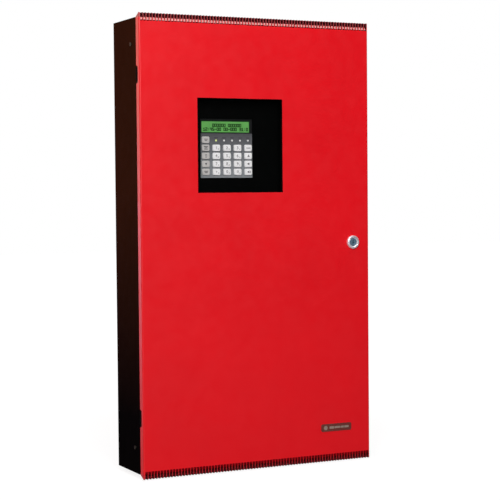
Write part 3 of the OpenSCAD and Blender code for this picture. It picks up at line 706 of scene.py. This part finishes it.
def can_side(middle):
    """0 for the sleeves of the capacitors, 1 for their bare tops."""
    depth = middle.y - can_top
    return 1 if min(abs(depth), abs(depth - CAN_STEP)) < TOUCH else 0


def battery_side(middle):
    """0 for a battery's case, 1 for its terminals."""
    return 1 if middle.z > battery_top + TOUCH else 0


# each node with its material, the width of its rounded edges and how its faces are told apart
for node, material, width, choose in [
    ("backbox", BLACK_PAINT, 0.25, None),
    ("box_hinge_leaves", DARK_STEEL, 0.2, None),
    ("hinge_pins", DARK_STEEL, 0.2, None),
    ("side_screws", SCREW_STEEL, 0.1, None),
    ("chassis", GALVANISED, 0.2, None),
    ("board_standoffs", BRASS, 0.1, None),
    ("main_board", CIRCUIT_BOARD, 0.1, None),
    ("terminal_blocks", TERMINAL_PLASTIC, 0.1, None),
    ("relays", RELAY_PLASTIC, 0.4, None),
    ("capacitors", [CAPACITOR_SLEEVE, ZINC], 0.4, can_side),
    ("chips", CHIP_PLASTIC, 0.2, None),
    ("transformer_core", CORE_STEEL, 0.3, None),
    ("transformer_coil", TAPE, 0.8, None),
    ("battery_left", [BATTERY_PLASTIC, ZINC], 1, battery_side),
    ("battery_right", [BATTERY_PLASTIC, ZINC], 1, battery_side),
    ("battery_strap", DARK_STEEL, 0.3, None),
    ("battery_leads", [WIRE_RED, WIRE_BLACK, WIRE_BLUE], 0, lead_colour),
    ("panel_brackets", ZINC, 0.2, None),
    ("dress_panel", PANEL_PAINT, 0.3, None),
    ("panel_screws", ZINC, 0.1, None),
    ("display_frame", BLACK_PLASTIC, 0.2, None),
    ("display_board", CIRCUIT_BOARD, 0.1, None),
    ("keypad_fascia", FASCIA, 0.15, None),
    ("lcd_glass", LCD_BACKLIGHT, 0.1, None),
    ("status_lamps", [LAMP_ON, LAMP_OFF], 0, lamp_state),
    ("ribbon_cable", RIBBON_GREY, 0.2, None),
    ("door", [RED_PAINT, DOOR_INSIDE_SHADE], 0.25, door_side),
    ("door_hinge_leaves", DARK_STEEL, 0.2, None),
    ("window_pane", CLEAR_SHEET, 0.2, None),
    ("window_retainer", DARK_STEEL, 0.2, None),
    ("window_fasteners", ZINC, 0.1, None),
    ("vent_baffles", [BAFFLE_HIGHLIGHT, DARK_STEEL, BAFFLE_SHADE], 0.1, baffle_side),
    ("nameplate", PLATE_BROWN, 0.1, None),
    ("lock_body", CHROME, 0.2, None),
    ("lock_nut", ZINC, 0.3, None),
    ("lock_plug", LOCK_STEEL, 0.1, None),
    ("lock_cam", ZINC, 0.2, None),
    ("cam_screw", ZINC, 0.2, None),
]:
    refine(node, material, width, choose)


# ---- Keys ----

BAR_SHARE = 0.28  # half of a bar's height as a share of the bars' pitch


def bars(shape, x, z, widths, pitch, front, thickness):
    """Short printed lines, one above the other."""
    for i, width in enumerate(widths):
        height = z + (len(widths) - 1) * pitch / 2 - i * pitch
        add_block(shape, (x - width / 2, front, height - pitch * BAR_SHARE),
                  (x + width / 2, front + thickness, height + pitch * BAR_SHARE))


def arrow(shape, x, z, size, turn, front, thickness):
    """Printed triangle; a turn of 0 points right."""
    outline = [(x + size * math.cos(turn + a), z + size * math.sin(turn + a))
               for a in (0, math.radians(125), math.radians(235))]
    add_prism(shape, outline, front, front + thickness)


# what is printed on each key, by its row and column: a sign, the lengths of its bars, or
# the turn of its arrow
SIGNS = {"r2c2": "1", "r2c3": "2", "r2c4": "3", "r3c2": "4", "r3c3": "5", "r3c4": "6",
         "r4c2": "7", "r4c3": "8", "r4c4": "9", "r5c2": "*", "r5c3": "0", "r5c4": "#"}
BARS = {"r1c1": (6, 4), "r2c1": (7, 5, 6), "r3c1": (2, 2, 2), "r5c1": (6.5, 5), "r2c5": (7.5,)}
ARROWS = {"r4c1": -90, "r3c5": 90, "r4c5": 180, "r5c5": 180}
KEY_EDGE = 0.3            # width of a key's rounded edges, in millimetres
INK = 0.06 * MM           # how far the ink stands out
SUNK = 0.01 * MM          # how far it reaches into what it is printed on
SIGN_HEIGHT = 4.6 * MM
BAR_PITCH = 2 * MM
ARROW_SIZE = 2.4 * MM

for node in KEYS:
    place = node.removeprefix("key_")
    refine(node, KEY_GREY if place.endswith("c1") else KEY_WHITE, KEY_EDGE)
    low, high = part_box(node)
    x, z, front = (low.x + high.x) / 2, (low.z + high.z) / 2, low.y - INK
    legend = bmesh.new()
    if place in SIGNS:
        add_digits(legend, SIGNS[place], x - 0.6 * MM, z + 0.3 * MM, SIGN_HEIGHT, front, INK + SUNK)
        bars(legend, x + 3 * MM, z - 1.7 * MM, [1.8 * MM], 1.6 * MM, front, INK + SUNK)
    elif place in BARS:
        bars(legend, x, z, [w * MM for w in BARS[place]], BAR_PITCH, front, INK + SUNK)
    else:
        arrow(legend, x, z, ARROW_SIZE, math.radians(ARROWS[place]), front, INK + SUNK)
        if place == "r5c5":
            bars(legend, x + 3.4 * MM, z, [1 * MM], 6 * MM, front, INK + SUNK)
    new_piece("legend_" + place, body_of(node), closed(legend), LEGEND_INK)


# ---- Display ----

# rows of dots of each sign, from the top: the bits of a figure are the three dots of a row
DOTS = {"0": "75557", "1": "26227", "2": "71747", "3": "71717", "4": "55711", "5": "74717",
        "6": "74757", "7": "71111", "8": "75757", "9": "75717", "-": "00700", ":": "02020"}
LINES = (("    000000 000000   ", 0.61), ("12:45-00 00-000 31:0", 0.29))  # each with its height
CELLS = 20                # signs in a line
MARGIN = 3 * MM           # beside the lines
CELL_DOTS = (3.25, 3.7)   # dots that would fit across a cell, and dots as high as it is wide
DOT_INK = 0.05 * MM

cell = (glass_high.x - glass_low.x - 2 * MARGIN) / CELLS
dot_w, dot_h = (cell / dots for dots in CELL_DOTS)


def add_sign(shape, sign, left, middle):
    """Adds the dots of a sign on the glass, from its left and the middle of its height."""
    for row, bits in enumerate(DOTS[sign]):
        for column in range(3):
            if int(bits) >> (2 - column) & 1:
                x = left + (column + 0.1) * dot_w
                z = middle + (1.5 - row) * dot_h
                add_block(shape, (x, glass_low.y - DOT_INK, z),
                          (x + dot_w, glass_low.y + SUNK, z + dot_h))


text = bmesh.new()
for line, height in LINES:
    for place, sign in enumerate(line):
        if sign != " ":
            add_sign(text, sign, glass_low.x + MARGIN + place * cell,
                     glass_low.z + (glass_high.z - glass_low.z) * height)
new_piece("lcd_digits", "cabinet", closed(text), LCD_INK)

RIM_LEFT = 0.54 * MM      # widths of the dark rim around the lit glass
RIM_RIGHT = 1.6 * MM
RIM_FOOT = 0.9 * MM
RIM_TOP = 1.6 * MM
edge = bmesh.new()
inner_low = (glass_low.x + RIM_LEFT, glass_low.z + RIM_FOOT)
inner_high = (glass_high.x - RIM_RIGHT, glass_high.z - RIM_TOP)
for low, high in (((glass_low.x, glass_low.z), (glass_high.x, inner_low[1])),
                  ((glass_low.x, inner_high[1]), (glass_high.x, glass_high.z)),
                  ((glass_low.x, inner_low[1]), (inner_low[0], inner_high[1])),
                  ((inner_high[0], inner_low[1]), (glass_high.x, inner_high[1]))):
    add_block(edge, (low[0], glass_low.y - 0.12 * MM, low[1]), (high[0], glass_low.y + 0.02 * MM, high[1]))
new_piece("lcd_rim", "cabinet", closed(edge), LCD_EDGE)

LAMPS = 5
lamp_pitch = (lamp_high.x - lamp_low.x - LAMP_WIDTH) / (LAMPS - 1)
prints = bmesh.new()
for i in range(LAMPS):
    x = lamp_low.x + LAMP_WIDTH / 2 + i * lamp_pitch
    bars(prints, x, lamp_high.z + 2.6 * MM, [6 * MM], BAR_PITCH, fascia_low.y - INK, INK + SUNK)
new_piece("lamp_marks", "cabinet", closed(prints), LEGEND_INK)


# ---- Nameplate ----

MARK_RADIUS = 3.8 * MM     # of the six-sided mark
MARK_X = 8 * MM            # its middle, from the plate's left end
WORDS = ((15, 8, 4), (24, 10, 3.2), (35, 6, 3.2), (42, 8, 3.2))  # left end, width and height in mm

middle = (plate_low.z + plate_high.z) / 2
front, back = plate_low.y - 0.1 * MM, plate_low.y + 0.3 * MM
mark = bmesh.new()
turns = [math.radians(60 * corner) for corner in range(6)]
add_prism(mark, [(plate_low.x + MARK_X + MARK_RADIUS * math.cos(turn), middle + MARK_RADIUS * math.sin(turn))
                 for turn in turns], front, back)
for left, width, height in WORDS:
    add_block(mark, (plate_low.x + left * MM, front, middle - height / 2 * MM),
              (plate_low.x + (left + width) * MM, back, middle + height / 2 * MM))
new_piece("nameplate_mark", "door_assembly", closed(mark), PLATE_SILVER)


# ---- Batteries ----

LABEL = (96 * MM, 34 * MM, 3 * MM)   # width, height and corner radius of a battery's label
BAND = (90 * MM, 6 * MM, 1 * MM)     # and of the coloured band on it
LABEL_DROP = 24 * MM                 # from the battery's top to the label's middle
BAND_DROP = 13 * MM
SEAM = (4.2 * MM, 2.8 * MM)          # foot and top of the lid's seam, below the battery's top
SEAM_EDGE = 0.2 * MM


def label_battery(side):
    """Paper label and lid seam on a battery's front."""
    low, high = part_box("battery_" + side)
    x = (low.x + high.x) / 2
    paper = bmesh.new()
    add_prism(paper, rounded_outline(x, battery_top - LABEL_DROP, *LABEL),
              low.y - 0.15 * MM, low.y + 0.05 * MM, 0)
    add_prism(paper, rounded_outline(x, battery_top - BAND_DROP, *BAND),
              low.y - 0.25 * MM, low.y - 0.1 * MM, 1)
    new_piece("battery_label_" + side, "cabinet", closed(paper), [LABEL_PAPER, LABEL_BAND])
    seam = bmesh.new()
    add_block(seam, (low.x + 0.5 * MM, low.y - 0.35 * MM, battery_top - SEAM[0]),
              (high.x - 0.5 * MM, low.y + 0.3 * MM, battery_top - SEAM[1]))
    soften(seam, SEAM_EDGE)
    new_piece("battery_seam_" + side, "cabinet", closed(seam), BATTERY_PLASTIC)


for side in ("left", "right"):
    label_battery(side)
